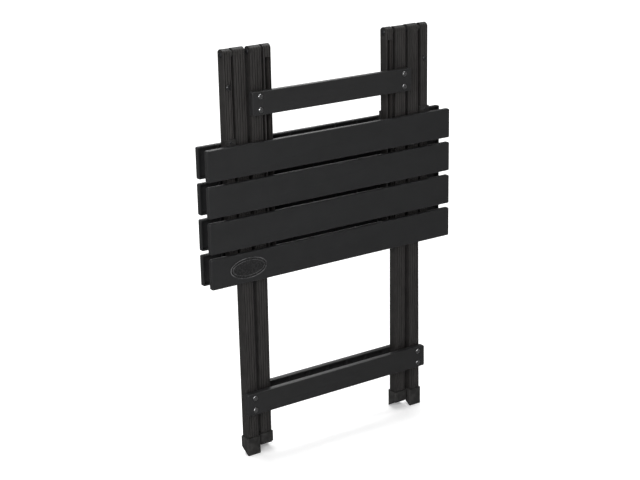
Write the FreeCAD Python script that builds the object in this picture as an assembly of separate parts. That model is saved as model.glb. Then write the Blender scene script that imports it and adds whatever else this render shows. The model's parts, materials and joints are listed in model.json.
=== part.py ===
import FreeCAD, Part
import math
import os

# Folding slatted side table, folded flat and standing on its feet.
# +Z is up, X runs along the slats and -Y is the front. The origin is on the floor, midway between
# the two halves of the top. All sizes are in millimetres.

# Slats, four in each half of the top
SLAT_LENGTH = 476.0
SLAT_HEIGHT = 49.4
SLAT_THICKNESS = 8.0
SLAT_GAP = 8.2
SLATS_PER_HALF = 4
SLAT_CORNER = 2.0          # rounding of the four corners of the face
SLAT_EDGE = 1.3            # rounding of the face's rim
SLAT_SKIN = 2.6            # moulded face behind which the slat is hollow
SLAT_RIM = 2.4             # wall round the hollow
SLAT_RIB = 1.8
BAY_LENGTH = 45.0          # longest hollow between two ribs, in slats and crossbars

# Bars: rails carry the slats, legs carry the rails
RAIL_WIDTH = 14.0
RAIL_DEPTH = 17.0
RAIL_WALL = 1.5
RAIL_SLOT = 9.0            # opening between the channel's lips
LEG_WIDTH = 21.0
LEG_DEPTH = 17.0
LEG_WALL = 1.5
BAR_CORNER = 1.2
FLUTE_WIDTH = 1.7
FLUTE_DEPTH = 0.7
FLUTE_PITCH = 4.4
LEG_FLUTES = 4
RAIL_FLUTES = 3

# Gaps between neighbouring bars along X, and the outermost face of the front rails
OUTER_FACE_X = 197.5
FRONT_RAIL_TO_LEG = 5.0
LEG_TO_LEG = 7.0
LEG_TO_BACK_RAIL = 4.0

# Heights and the linkage
PIVOT_HEIGHT = 400.0       # scissor pivot above the floor
PIN_TO_PIVOT = 262.0       # top hinge pins above the scissor pivot
PIN_TO_SLATS = 140.0       # top hinge pins to the slats' upper edge
PIN_OFFSET = 1.6           # hinge pins stand this far off each leg's centre line
SLAT_STANDOFF = 1.2        # slats' inner face to the deeper of the rail and the leg
HINGE_PIN_RADIUS = 3.0
PIVOT_RADIUS = 4.0
RUNNING_CLEARANCE = 0.06
STATIC_CLEARANCE = 0.1
SIDE_CLEARANCE = 0.3       # between moving parts side by side

# Crossbars
CROSSBAR_HEIGHT = 37.0
CROSSBAR_THICKNESS = 10.0
CROSSBAR_OVERHANG = 4.0    # past the legs' outer faces
TOP_CROSSBAR_DROP = 79.0   # below the hinge pins
LOW_CROSSBAR_DROP = 308.5  # below the scissor pivot
RIVET_SPACING = 21.0
RIVET_RADIUS = 2.4
RIVET_HEAD_RADIUS = 4.4
RIVET_HEAD_HEIGHT = 2.0
RIVET_TAIL_RADIUS = 3.6
RIVET_TAIL_HEIGHT = 1.5

# Feet
FOOT_WALL = 2.0
FOOT_HEIGHT = 30.0
FOOT_GRIP = 20.0           # length of leg inside the foot
FOOT_CORNER = 1.5

# Fittings
PLUG_LENGTH = 20.0
PLUG_CLEARANCE = 0.1
HEAD_THICKNESS = 2.2       # heads and tails of the hinge pins
HINGE_HEAD_RADIUS = 5.2
PIVOT_HEAD_RADIUS = 6.5
SPACER_RADIUS = 8.0
STUD_DROP = 50.0           # below the hinge pins
STUD_RADIUS = 4.4
STUD_HEIGHT = 2.8
STUD_SHANK = 1.6
CLIP_WALL = 1.8
CLIP_CHEEK = 4.0           # how far the cheeks reach down the rail's sides
CLIP_LENGTH = 24.0
CLIP_TAB = 10.0            # how far the first clip stands past the slats' edge
SCREW_RADIUS = 2.0
SCREW_HEAD_RADIUS = 3.7
SCREW_HEAD_HEIGHT = 2.2
SCREW_BITE = 5.0           # thread length inside the slat
TAB_SCREW_RADIUS = 1.4
TAB_SCREW_HEAD_RADIUS = 2.4
TAB_SCREW_HEAD_HEIGHT = 1.2
TAB_SCREW_BITE = 3.0
RAIL_END_MARGIN = 5.0      # the rail stops this far short of the last slat's edge

# Badge on the lowest front slat
BADGE_LENGTH = 68.0
BADGE_HEIGHT = 34.0
BADGE_THICKNESS = 1.0
BADGE_RIM = 2.0
BADGE_FIELD = 0.5          # how far the field lies below the rim
BADGE_INSET = 67.5         # badge centre to the slat's end

# Places that follow from the sizes above
FRONT_RAIL_X = OUTER_FACE_X - RAIL_WIDTH / 2
OUTER_LEG_X = OUTER_FACE_X - RAIL_WIDTH - FRONT_RAIL_TO_LEG - LEG_WIDTH / 2
INNER_LEG_X = OUTER_LEG_X - LEG_WIDTH - LEG_TO_LEG
BACK_RAIL_X = INNER_LEG_X - LEG_WIDTH / 2 - LEG_TO_BACK_RAIL - RAIL_WIDTH / 2
REST_TILT = math.degrees(math.atan2(PIN_OFFSET, PIN_TO_PIVOT))
PIN_HEIGHT = PIVOT_HEIGHT + math.hypot(PIN_TO_PIVOT, PIN_OFFSET)
SLAT_INNER_Y = max(RAIL_DEPTH, LEG_DEPTH) / 2 + SLAT_STANDOFF
SLAT_OUTER_Y = SLAT_INNER_Y + SLAT_THICKNESS
SLAT_TOP = PIN_HEIGHT - PIN_TO_SLATS
SLAT_PITCH = SLAT_HEIGHT + SLAT_GAP
TOP_LENGTH = SLATS_PER_HALF * SLAT_HEIGHT + (SLATS_PER_HALF - 1) * SLAT_GAP
RAIL_BOTTOM = SLAT_TOP - TOP_LENGTH + RAIL_END_MARGIN
OPEN_ANGLE = math.degrees(math.asin((PIN_TO_SLATS - SLAT_GAP / 2) / PIN_TO_PIVOT))
PIVOT_HEAD = FRONT_RAIL_TO_LEG - CLIP_WALL - 3 * SIDE_CLEARANCE
PIVOT_NUT = LEG_TO_BACK_RAIL - CLIP_WALL - 3 * SIDE_CLEARANCE
FOOT_DEPTH = LEG_DEPTH + 2 * FOOT_WALL
FOOT_WIDTH = LEG_WIDTH + 2 * FOOT_WALL
SOLE_ANGLE = OPEN_ANGLE + REST_TILT

X_AXIS = FreeCAD.Vector(1, 0, 0)
Y_AXIS = FreeCAD.Vector(0, 1, 0)
Z_AXIS = FreeCAD.Vector(0, 0, 1)
PIVOT = FreeCAD.Vector(0, 0, PIVOT_HEIGHT)
LEFT, RIGHT = -1, 1
FRONT, BACK = -1, 1
SIDES = {"left": LEFT, "right": RIGHT}


def block(x0, x1, y0, y1, z0, z1):
    """Box between two corners, given in any order."""
    low = FreeCAD.Vector(min(x0, x1), min(y0, y1), min(z0, z1))
    return Part.makeBox(abs(x1 - x0), abs(y1 - y0), abs(z1 - z0), low)


def rod_x(radius, x0, x1, y, z):
    """Cylinder along X."""
    return Part.makeCylinder(radius, abs(x1 - x0), FreeCAD.Vector(min(x0, x1), y, z), X_AXIS)


def rod_y(radius, x, y0, y1, z):
    """Cylinder along Y."""
    return Part.makeCylinder(radius, abs(y1 - y0), FreeCAD.Vector(x, min(y0, y1), z), Y_AXIS)


def dome(radius, height, base, direction):
    """Low round head whose flat side lies at base."""
    sphere_radius = (radius ** 2 + height ** 2) / (2 * height)
    halfway = math.asin(radius / sphere_radius) / 2
    rim = FreeCAD.Vector(radius, 0, 0)
    crown = FreeCAD.Vector(0, 0, height)
    middle = FreeCAD.Vector(math.sin(halfway) * sphere_radius, 0,
                            height - (1 - math.cos(halfway)) * sphere_radius)
    centre = FreeCAD.Vector(0, 0, 0)
    arc = Part.Arc(rim, middle, crown).toShape()
    outline = Part.Wire([Part.makeLine(centre, rim), arc, Part.makeLine(crown, centre)])
    head = Part.Face(outline).revolve(centre, Z_AXIS, 360)
    head.Placement = FreeCAD.Placement(base, FreeCAD.Rotation(Z_AXIS, direction))
    return head


def long_edges(solid, axis):
    """Straight edges of a solid that run along an axis."""
    found = []
    for edge in solid.Edges:
        along = edge.Vertexes[-1].Point - edge.Vertexes[0].Point
        if along.Length > 0 and abs(along.normalize().dot(axis)) > 0.999:
            found.append(edge)
    return found


def face_rim(solid, y):
    """Edges of a solid that lie in the plane at y."""
    found = []
    for edge in solid.Edges:
        box = edge.BoundBox
        if abs(box.YMin - y) < 0.01 and abs(box.YMax - y) < 0.01:
            found.append(edge)
    return found


def flutes(x, depth, count, z0, z1, faces):
    """Grooves along a bar's front and back faces."""
    cutters = []
    for face in faces:
        for i in range(count):
            middle = x + (i - (count - 1) / 2) * FLUTE_PITCH
            surface = face * depth / 2
            low, high = middle - FLUTE_WIDTH / 2, middle + FLUTE_WIDTH / 2
            cutters.append(block(low, high, surface, surface - face * FLUTE_DEPTH, z0, z1))
    return cutters


def round_top(x, width, depth, z_low, z_centre):
    """Prism with a half-round upper end, which a bar's end is trimmed to."""
    prism = block(x - width, x + width, -depth / 2, depth / 2, z_low, z_centre)
    end = rod_x(depth / 2, x - width, x + width, 0, z_centre)
    return prism.fuse(end)


def bar_blank(x, width, depth, z_low, z_top):
    """Bar with rounded long corners."""
    bar = block(x - width / 2, x + width / 2, -depth / 2, depth / 2, z_low, z_top)
    return bar.makeFillet(BAR_CORNER, long_edges(bar, Z_AXIS))


# ---- Legs. Each is made upright on Y = 0, with the scissor pivot on its centre line, then tilted.

def tilt(shape, face):
    """Lean a leg's piece about the scissor pivot: the outer legs' tops go back, the inner forward."""
    leaned = shape.copy()
    leaned.rotate(PIVOT, X_AXIS, face * REST_TILT)
    return leaned


def leg(x, face):
    """Fluted rectangular tube with a half-round top. face is where its foot goes when opened."""
    top = PIVOT_HEIGHT + PIN_TO_PIVOT
    low = FOOT_HEIGHT - FOOT_GRIP
    high = top + LEG_DEPTH / 2
    tube = bar_blank(x, LEG_WIDTH, LEG_DEPTH, low, high)
    tube = tube.cut(flutes(x, LEG_DEPTH, LEG_FLUTES, low, high, (FRONT, BACK)))
    tube = tube.common(round_top(x, LEG_WIDTH, LEG_DEPTH, low, top))
    half_x, half_y = LEG_WIDTH / 2 - LEG_WALL, LEG_DEPTH / 2 - LEG_WALL
    cavity = block(x - half_x, x + half_x, -half_y, half_y, low - 1, top)
    mouth = block(x - half_x, x + half_x, -LEG_DEPTH, LEG_DEPTH, top, high + 1)
    pin_hole = rod_x(HINGE_PIN_RADIUS + STATIC_CLEARANCE, x - LEG_WIDTH, x + LEG_WIDTH,
                     face * PIN_OFFSET, top)
    pivot_hole = rod_x(PIVOT_RADIUS + RUNNING_CLEARANCE, x - LEG_WIDTH, x + LEG_WIDTH, 0, PIVOT_HEIGHT)
    return tube.cut([cavity, mouth, pin_hole, pivot_hole])


def leg_plug(x, face):
    """Moulded plug that closes a leg's top end flush with its round."""
    top = PIVOT_HEIGHT + PIN_TO_PIVOT
    half_x = LEG_WIDTH / 2 - LEG_WALL - PLUG_CLEARANCE
    half_y = LEG_DEPTH / 2 - LEG_WALL - PLUG_CLEARANCE
    low = top + LEG_DEPTH / 2 - PLUG_LENGTH
    stem = block(x - half_x, x + half_x, -half_y, half_y, low, top)
    crown = rod_x(LEG_DEPTH / 2, x - half_x, x + half_x, 0, top)
    crown = crown.common(block(x - half_x, x + half_x, -LEG_DEPTH, LEG_DEPTH, top, top + LEG_DEPTH))
    hole = rod_x(HINGE_PIN_RADIUS + STATIC_CLEARANCE, x - LEG_WIDTH, x + LEG_WIDTH,
                 face * PIN_OFFSET, top)
    return stem.fuse(crown).removeSplitter().cut(hole)


def foot(x, face):
    """Cup over a leg's lower end. Its sole slopes so that it lies flat when the table stands open."""
    sine, cosine = math.sin(math.radians(REST_TILT)), math.cos(math.radians(REST_TILT))
    low = PIVOT_HEIGHT - (PIVOT_HEIGHT + FOOT_DEPTH / 2 * sine) / cosine
    cup = block(x - FOOT_WIDTH / 2, x + FOOT_WIDTH / 2, -FOOT_DEPTH / 2, FOOT_DEPTH / 2, low, FOOT_HEIGHT)
    cup = cup.makeFillet(FOOT_CORNER, long_edges(cup, Z_AXIS))
    toe = FreeCAD.Vector(0, face * FOOT_DEPTH / 2, low)
    below = block(x - FOOT_WIDTH, x + FOOT_WIDTH, -2 * FOOT_DEPTH, 2 * FOOT_DEPTH, low, low - FOOT_HEIGHT)
    below.rotate(toe, X_AXIS, -face * SOLE_ANGLE)
    half_x, half_y = LEG_WIDTH / 2 + STATIC_CLEARANCE, LEG_DEPTH / 2 + STATIC_CLEARANCE
    socket = block(x - half_x, x + half_x, -half_y, half_y, FOOT_HEIGHT - FOOT_GRIP, FOOT_HEIGHT + 1)
    return cup.cut([below, socket])


def crossbar(leg_x, face, z):
    """Moulded bar across a pair of legs, on the side that face says, hollow behind."""
    inner, outer = face * LEG_DEPTH / 2, face * (LEG_DEPTH / 2 + CROSSBAR_THICKNESS)
    half = leg_x + LEG_WIDTH / 2 + CROSSBAR_OVERHANG
    low, high = z - CROSSBAR_HEIGHT / 2, z + CROSSBAR_HEIGHT / 2
    bar = block(-half, half, inner, outer, low, high)
    bar = bar.makeFillet(SLAT_CORNER, long_edges(bar, Y_AXIS))
    bar = bar.makeFillet(SLAT_EDGE, face_rim(bar, outer))
    span = leg_x - LEG_WIDTH
    cutters = hollow_bays(-span, span, inner, outer - face * SLAT_SKIN, low, high)
    lean = abs(z - PIVOT_HEIGHT) * math.tan(math.radians(REST_TILT))
    room_for_rails = face * (RAIL_DEPTH / 2 + SIDE_CLEARANCE - lean)
    between_legs = leg_x - LEG_WIDTH / 2
    cutters.append(block(-between_legs, between_legs, 0, room_for_rails, low, high))
    for side in (LEFT, RIGHT):
        for height in rivet_heights(z):
            hole_radius = RIVET_RADIUS + STATIC_CLEARANCE
            cutters.append(rod_y(hole_radius, side * leg_x, inner - face, outer + face, height))
    return bar.cut(cutters)


def hollow_bays(start, end, y_open, y_skin, low, high):
    """Hollows of equal length in the back of a moulded bar, with ribs between them."""
    count = math.ceil((end - start) / BAY_LENGTH)
    pitch = (end - start) / count
    bays = []
    for i in range(count):
        left = start + i * pitch + SLAT_RIB / 2
        right = start + (i + 1) * pitch - SLAT_RIB / 2
        bays.append(block(left, right, y_open, y_skin, low + SLAT_RIM, high - SLAT_RIM))
    return bays


def rivet_heights(z):
    return (z - RIVET_SPACING / 2, z + RIVET_SPACING / 2)


def rivet(x, face, z):
    """Domed rivet through a crossbar and the near wall of a leg."""
    outer = face * (LEG_DEPTH / 2 + CROSSBAR_THICKNESS)
    inner = face * (LEG_DEPTH / 2 - LEG_WALL)
    shank = rod_y(RIVET_RADIUS, x, inner, outer, z)
    head = dome(RIVET_HEAD_RADIUS, RIVET_HEAD_HEIGHT, FreeCAD.Vector(x, outer, z), Y_AXIS * face)
    tail = rod_y(RIVET_TAIL_RADIUS, x, inner - face * RIVET_TAIL_HEIGHT, inner, z)
    return shank.fuse([head, tail]).removeSplitter()


def rivet_holes(x, face, z):
    """Holes in the wall of a leg for one crossbar's rivets."""
    middle = face * LEG_DEPTH / 2
    radius = RIVET_RADIUS + STATIC_CLEARANCE
    return [rod_y(radius, x, middle - face * 3 * LEG_WALL, middle + face, h) for h in rivet_heights(z)]


# ---- Top halves. face is FRONT for the half that lies in front of the legs, BACK for the other.

def rail(x, face):
    """Channel with its web against the slats and a lipped opening on the other side."""
    top = PIN_HEIGHT + RAIL_DEPTH / 2
    bar = bar_blank(x, RAIL_WIDTH, RAIL_DEPTH, RAIL_BOTTOM, top)
    bar = bar.cut(flutes(x, RAIL_DEPTH, RAIL_FLUTES, RAIL_BOTTOM, top, (face,)))
    bar = bar.common(round_top(x, RAIL_WIDTH, RAIL_DEPTH, RAIL_BOTTOM, PIN_HEIGHT))
    half = RAIL_WIDTH / 2 - RAIL_WALL
    reach = RAIL_DEPTH / 2 - RAIL_WALL
    cavity = block(x - half, x + half, -reach, reach, RAIL_BOTTOM - 1, top + 1)
    slot = block(x - RAIL_SLOT / 2, x + RAIL_SLOT / 2, 0, -face * RAIL_DEPTH, RAIL_BOTTOM - 1, top + 1)
    hole = rod_x(HINGE_PIN_RADIUS + RUNNING_CLEARANCE, x - RAIL_WIDTH, x + RAIL_WIDTH, 0, PIN_HEIGHT)
    screws = [screw_hole(x, face, z) for z in slat_middles()]
    stud_hole = rod_y(STUD_SHANK + STATIC_CLEARANCE, x, 0, face * RAIL_DEPTH, PIN_HEIGHT - STUD_DROP)
    tab_hole = rod_y(TAB_SCREW_RADIUS + STATIC_CLEARANCE, x, 0, face * RAIL_DEPTH, SLAT_TOP + CLIP_TAB / 2)
    return bar.cut([cavity, slot, hole, stud_hole, tab_hole] + screws)


def slat_middles():
    return [SLAT_TOP - SLAT_HEIGHT / 2 - i * SLAT_PITCH for i in range(SLATS_PER_HALF)]


def screw_hole(x, face, z):
    return rod_y(SCREW_RADIUS + STATIC_CLEARANCE, x, 0, face * (SLAT_INNER_Y + SCREW_BITE + 0.3), z)


def rail_plug(x, face):
    """Moulded plug in a rail's upper end, flush with its round and with its open side."""
    top = PIN_HEIGHT + RAIL_DEPTH / 2
    half = RAIL_WIDTH / 2 - RAIL_WALL - PLUG_CLEARANCE
    reach = RAIL_DEPTH / 2 - RAIL_WALL - PLUG_CLEARANCE
    low = top - PLUG_LENGTH
    stem = block(x - half, x + half, -reach, reach, low, PIN_HEIGHT)
    slot_half = RAIL_SLOT / 2 - PLUG_CLEARANCE
    tongue = block(x - slot_half, x + slot_half, 0, -face * RAIL_DEPTH / 2, low, PIN_HEIGHT)
    crown = rod_x(RAIL_DEPTH / 2, x - half, x + half, 0, PIN_HEIGHT)
    crown = crown.common(block(x - half, x + half, -RAIL_DEPTH, RAIL_DEPTH, PIN_HEIGHT, top + 1))
    lips = block(x - half, x + half, -face * reach, -face * RAIL_DEPTH, PIN_HEIGHT, top + 1)
    lips = lips.cut(block(x - slot_half, x + slot_half, -RAIL_DEPTH, RAIL_DEPTH, PIN_HEIGHT, top + 1))
    web = block(x - half, x + half, face * reach, face * RAIL_DEPTH, PIN_HEIGHT, top + 1)
    hole = rod_x(HINGE_PIN_RADIUS + RUNNING_CLEARANCE, x - RAIL_WIDTH, x + RAIL_WIDTH, 0, PIN_HEIGHT)
    return stem.fuse([tongue, crown.cut([lips, web])]).removeSplitter().cut(hole)


def slat(rail_x, face, middle):
    """Moulded slat: a smooth face with rounded rim, ribbed and hollow behind."""
    inner, outer = face * SLAT_INNER_Y, face * SLAT_OUTER_Y
    low, high = middle - SLAT_HEIGHT / 2, middle + SLAT_HEIGHT / 2
    half = SLAT_LENGTH / 2
    body = block(-half, half, inner, outer, low, high)
    body = body.makeFillet(SLAT_CORNER, long_edges(body, Y_AXIS))
    body = body.makeFillet(SLAT_EDGE, face_rim(body, outer))
    boss = RAIL_WIDTH / 2 + CLIP_WALL + SIDE_CLEARANCE
    end = half - SLAT_RIM + SLAT_RIB / 2
    skin = outer - face * SLAT_SKIN
    cutters = [screw_hole(side * rail_x, face, middle) for side in (LEFT, RIGHT)]
    for left, right in ((-end, -rail_x - boss), (boss - rail_x, rail_x - boss), (rail_x + boss, end)):
        cutters += hollow_bays(left, right, inner, skin, low, high)
    return body.cut(cutters)


def clip(x, face, middle, tab):
    """Moulded saddle that seats a slat on its rail. The first one stands past the slat as a tab."""
    half = RAIL_WIDTH / 2 + SIDE_CLEARANCE
    low, high = middle - CLIP_LENGTH / 2, middle + CLIP_LENGTH / 2
    if tab:
        high = SLAT_TOP + CLIP_TAB
    inner, outer = face * (RAIL_DEPTH / 2), face * SLAT_INNER_Y
    end = face * (RAIL_DEPTH / 2 - CLIP_CHEEK)
    saddle = block(x - half - CLIP_WALL, x + half + CLIP_WALL, end, outer, low, high)
    saddle = saddle.makeFillet(CLIP_WALL / 2, long_edges(saddle, Y_AXIS))
    cutters = [block(x - half, x + half, end, inner, low - 1, high + 1), screw_hole(x, face, middle)]
    if tab:
        radius = TAB_SCREW_RADIUS + STATIC_CLEARANCE
        cutters.append(rod_y(radius, x, 0, face * SLAT_OUTER_Y, SLAT_TOP + CLIP_TAB / 2))
    return saddle.cut(cutters)


def screw(x, face, z):
    """Pan-head screw from inside the channel into a slat."""
    seat = face * (RAIL_DEPTH / 2 - RAIL_WALL)
    shank = rod_y(SCREW_RADIUS, x, seat, face * (SLAT_INNER_Y + SCREW_BITE), z)
    head = dome(SCREW_HEAD_RADIUS, SCREW_HEAD_HEIGHT, FreeCAD.Vector(x, seat, z), Y_AXIS * -face)
    return shank.fuse(head).removeSplitter()


def tab_screw(x, face):
    """Small screw through a clip's tab into the rail's web."""
    z = SLAT_TOP + CLIP_TAB / 2
    seat = face * SLAT_INNER_Y
    shank = rod_y(TAB_SCREW_RADIUS, x, seat, face * (RAIL_DEPTH / 2 - TAB_SCREW_BITE), z)
    base = FreeCAD.Vector(x, seat, z)
    head = dome(TAB_SCREW_HEAD_RADIUS, TAB_SCREW_HEAD_HEIGHT, base, Y_AXIS * face)
    return shank.fuse(head).removeSplitter()


def stud(x, face):
    """Low domed stud on a bare stretch of rail, where the other half of the top rests."""
    z = PIN_HEIGHT - STUD_DROP
    seat = face * RAIL_DEPTH / 2
    shank = rod_y(STUD_SHANK, x, seat, seat - face * 2 * RAIL_WALL, z)
    head = dome(STUD_RADIUS, STUD_HEIGHT, FreeCAD.Vector(x, seat, z), Y_AXIS * face)
    return shank.fuse(head).removeSplitter()


def badge():
    """Plain oval badge with a raised rim. It carries no mark."""
    x = -SLAT_LENGTH / 2 + BADGE_INSET
    z = slat_middles()[-1]
    plate = oval_disc(x, z, BADGE_LENGTH, BADGE_HEIGHT, BADGE_THICKNESS)
    field = oval_disc(x, z, BADGE_LENGTH - 2 * BADGE_RIM, BADGE_HEIGHT - 2 * BADGE_RIM, BADGE_FIELD)
    field.translate(Y_AXIS * -(BADGE_THICKNESS - BADGE_FIELD))
    return plate.cut(field)


def oval_disc(x, z, length, height, thickness):
    """Elliptic disc whose back lies on the front slats' face."""
    centre = FreeCAD.Vector(x, -SLAT_OUTER_Y, z)
    end = centre + X_AXIS * (length / 2)
    top = centre + Z_AXIS * (height / 2)
    outline = Part.Wire(Part.Ellipse(end, top, centre).toShape())
    return Part.Face(outline).extrude(Y_AXIS * -thickness)


# ---- Pins and pivots

def hinge_pin(rail_x, leg_x, side):
    """Headed pin that joins a rail to its leg: the head is on the rail, the peened end on the leg."""
    away = 1 if rail_x > leg_x else -1
    head_x = side * (rail_x + away * RAIL_WIDTH / 2)
    tail_x = side * (leg_x - away * LEG_WIDTH / 2)
    outward = X_AXIS * (side * away)
    shank = rod_x(HINGE_PIN_RADIUS, head_x + side * away * SIDE_CLEARANCE, tail_x, 0, PIN_HEIGHT)
    head_base = FreeCAD.Vector(head_x, 0, PIN_HEIGHT) + outward * SIDE_CLEARANCE
    head = dome(HINGE_HEAD_RADIUS, HEAD_THICKNESS, head_base, outward)
    tail = dome(HINGE_HEAD_RADIUS, HEAD_THICKNESS, FreeCAD.Vector(tail_x, 0, PIN_HEIGHT), outward * -1)
    return shank.fuse([head, tail]).removeSplitter()


def hinge_washer(rail_x, leg_x, side):
    """Spacing washer on a hinge pin, between the rail and the leg."""
    away = 1 if rail_x > leg_x else -1
    start = side * (leg_x + away * (LEG_WIDTH / 2 + SIDE_CLEARANCE))
    end = side * (rail_x - away * (RAIL_WIDTH / 2))
    ring = rod_x(HINGE_HEAD_RADIUS, start, end, 0, PIN_HEIGHT)
    return ring.cut(rod_x(HINGE_PIN_RADIUS + RUNNING_CLEARANCE, start, end, 0, PIN_HEIGHT))


def pivot_bolt(side):
    """Scissor bolt through both legs of one side, with its head outside."""
    head_x = side * (OUTER_LEG_X + LEG_WIDTH / 2 + SIDE_CLEARANCE)
    tail_x = side * (INNER_LEG_X - LEG_WIDTH / 2 - SIDE_CLEARANCE - PIVOT_NUT)
    shank = rod_x(PIVOT_RADIUS, head_x, tail_x, 0, PIVOT_HEIGHT)
    head = dome(PIVOT_HEAD_RADIUS, PIVOT_HEAD, FreeCAD.Vector(head_x, 0, PIVOT_HEIGHT), X_AXIS * side)
    return shank.fuse(head).removeSplitter()


def pivot_nut(side):
    """Round flange nut on the inner end of a scissor bolt."""
    start = side * (INNER_LEG_X - LEG_WIDTH / 2 - SIDE_CLEARANCE)
    end = start - side * PIVOT_NUT
    return rod_x(PIVOT_HEAD_RADIUS, start, end, 0, PIVOT_HEIGHT).cut(
        rod_x(PIVOT_RADIUS, start, end, 0, PIVOT_HEIGHT))


def pivot_spacer(side):
    """Sleeve that keeps the two legs of one side apart."""
    start = side * (INNER_LEG_X + LEG_WIDTH / 2 + SIDE_CLEARANCE)
    end = side * (OUTER_LEG_X - LEG_WIDTH / 2 - SIDE_CLEARANCE)
    return rod_x(SPACER_RADIUS, start, end, 0, PIVOT_HEIGHT).cut(
        rod_x(PIVOT_RADIUS, start, end, 0, PIVOT_HEIGHT))


def both_sides(make):
    """One compound of a piece and its twin on the other side."""
    return Part.makeCompound([make(side) for side in (LEFT, RIGHT)])


def leg_frame(nodes, name, x, face, crossbars):
    """One pair of legs with its plugs, feet, crossbars and rivets.

    crossbars maps a crossbar's name to its face and height.
    """
    for label, side in SIDES.items():
        tube = leg(side * x, face)
        for bar_face, bar_z in crossbars.values():
            tube = tube.cut(rivet_holes(side * x, bar_face, bar_z))
        nodes[name + "_leg_" + label] = tilt(tube, face)
        nodes[name + "_foot_" + label] = tilt(foot(side * x, face), face)
    nodes[name + "_leg_plugs"] = both_sides(lambda side: tilt(leg_plug(side * x, face), face))
    for bar_name, (bar_face, bar_z) in crossbars.items():
        nodes[bar_name] = tilt(crossbar(x, bar_face, bar_z), face)
        rivets = [tilt(rivet(side * x, bar_face, z), face)
                  for side in (LEFT, RIGHT) for z in rivet_heights(bar_z)]
        nodes[bar_name + "_rivets"] = Part.makeCompound(rivets)


def top_half(nodes, name, x, face):
    """One half of the top: two rails, their slats and what holds them together."""
    for label, side in SIDES.items():
        nodes[name + "_rail_" + label] = rail(side * x, face)
    for i, middle in enumerate(slat_middles()):
        nodes[name + "_slat_" + str(i + 1)] = slat(x, face, middle)
    places = [(side * x, middle) for side in (LEFT, RIGHT) for middle in slat_middles()]
    first = slat_middles()[0]
    nodes[name + "_slat_clips"] = Part.makeCompound([clip(at, face, z, z == first) for at, z in places])
    screws = [screw(at, face, z) for at, z in places]
    screws += [tab_screw(side * x, face) for side in (LEFT, RIGHT)]
    nodes[name + "_slat_screws"] = Part.makeCompound(screws)
    nodes[name + "_rail_plugs"] = both_sides(lambda side: rail_plug(side * x, face))
    nodes[name + "_rest_studs"] = both_sides(lambda side: stud(side * x, face))


def build():
    low_bar = PIVOT_HEIGHT - LOW_CROSSBAR_DROP
    top_bar = PIVOT_HEIGHT + PIN_TO_PIVOT - TOP_CROSSBAR_DROP
    nodes = {}
    leg_frame(nodes, "outer", OUTER_LEG_X, FRONT, {"front_crossbar": (FRONT, low_bar)})
    leg_frame(nodes, "inner", INNER_LEG_X, BACK,
              {"back_crossbar": (BACK, low_bar), "top_crossbar": (FRONT, top_bar)})
    top_half(nodes, "front", FRONT_RAIL_X, FRONT)
    top_half(nodes, "back", BACK_RAIL_X, BACK)
    nodes["badge"] = badge()
    for name, rail_x, leg_x in (("front", FRONT_RAIL_X, OUTER_LEG_X), ("back", BACK_RAIL_X, INNER_LEG_X)):
        nodes[name + "_hinge_pins"] = both_sides(lambda side: hinge_pin(rail_x, leg_x, side))
        nodes[name + "_hinge_washers"] = both_sides(lambda side: hinge_washer(rail_x, leg_x, side))
    nodes["pivot_bolts"] = both_sides(pivot_bolt)
    nodes["pivot_nuts"] = both_sides(pivot_nut)
    nodes["pivot_spacers"] = both_sides(pivot_spacer)
    return nodes


os.makedirs("parts", exist_ok=True)
for node, shape in build().items():
    shape.exportStep("parts/" + node + ".step")
print("open angle", round(OPEN_ANGLE, 3), "rest tilt", round(REST_TILT, 4), "pin height", round(PIN_HEIGHT, 3))
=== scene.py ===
import json
import math

import bmesh
import bpy
from bpy.props import FloatProperty, FloatVectorProperty, IntProperty, PointerProperty
from mathutils import Matrix, Vector


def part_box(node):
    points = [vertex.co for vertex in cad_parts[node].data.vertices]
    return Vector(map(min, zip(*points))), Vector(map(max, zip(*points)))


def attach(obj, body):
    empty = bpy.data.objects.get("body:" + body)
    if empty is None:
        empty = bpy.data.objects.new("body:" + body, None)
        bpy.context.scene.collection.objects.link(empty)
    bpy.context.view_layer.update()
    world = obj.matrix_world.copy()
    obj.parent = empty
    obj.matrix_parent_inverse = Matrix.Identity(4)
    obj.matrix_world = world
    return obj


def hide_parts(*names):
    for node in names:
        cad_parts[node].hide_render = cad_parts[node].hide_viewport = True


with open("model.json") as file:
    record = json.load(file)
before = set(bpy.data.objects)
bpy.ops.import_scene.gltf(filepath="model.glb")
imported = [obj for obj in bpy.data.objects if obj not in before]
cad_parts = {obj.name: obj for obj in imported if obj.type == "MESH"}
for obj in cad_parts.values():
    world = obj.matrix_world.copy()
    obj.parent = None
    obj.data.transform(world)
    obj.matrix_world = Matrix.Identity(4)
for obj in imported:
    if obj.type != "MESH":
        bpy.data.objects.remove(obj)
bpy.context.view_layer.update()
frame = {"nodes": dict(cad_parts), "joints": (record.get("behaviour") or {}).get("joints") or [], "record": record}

bl_info = {
    "name": "Folding Slatted Table",
    "version": (1, 0, 0),
    "blender": (4, 5, 0),
    "location": "3D View > Sidebar > Table",
    "description": "Models the visible pieces and finishes of a folding slatted side table",
    "category": "Object",
}

# Everything is in metres. +Z is up, X runs along the slats and -Y is the front.

LEFT, RIGHT = -1, 1
FRONT, BACK = -1, 1
HALVES = {"front": FRONT, "back": BACK}
# The side that the feet of each pair of legs lean to
LEG_FACES = {"outer": FRONT, "inner": BACK}
SLATS_PER_HALF = 4
# The legs that each crossbar joins, and the face of them that it lies on
CROSSBARS = {
    "front_crossbar": ("outer", FRONT),
    "back_crossbar": ("inner", BACK),
    "top_crossbar": ("inner", FRONT),
}


def node_size(node):
    """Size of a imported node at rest."""
    low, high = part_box(node)
    return high - low


def node_middle(node):
    """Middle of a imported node's box at rest."""
    low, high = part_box(node)
    return (low + high) / 2


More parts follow.
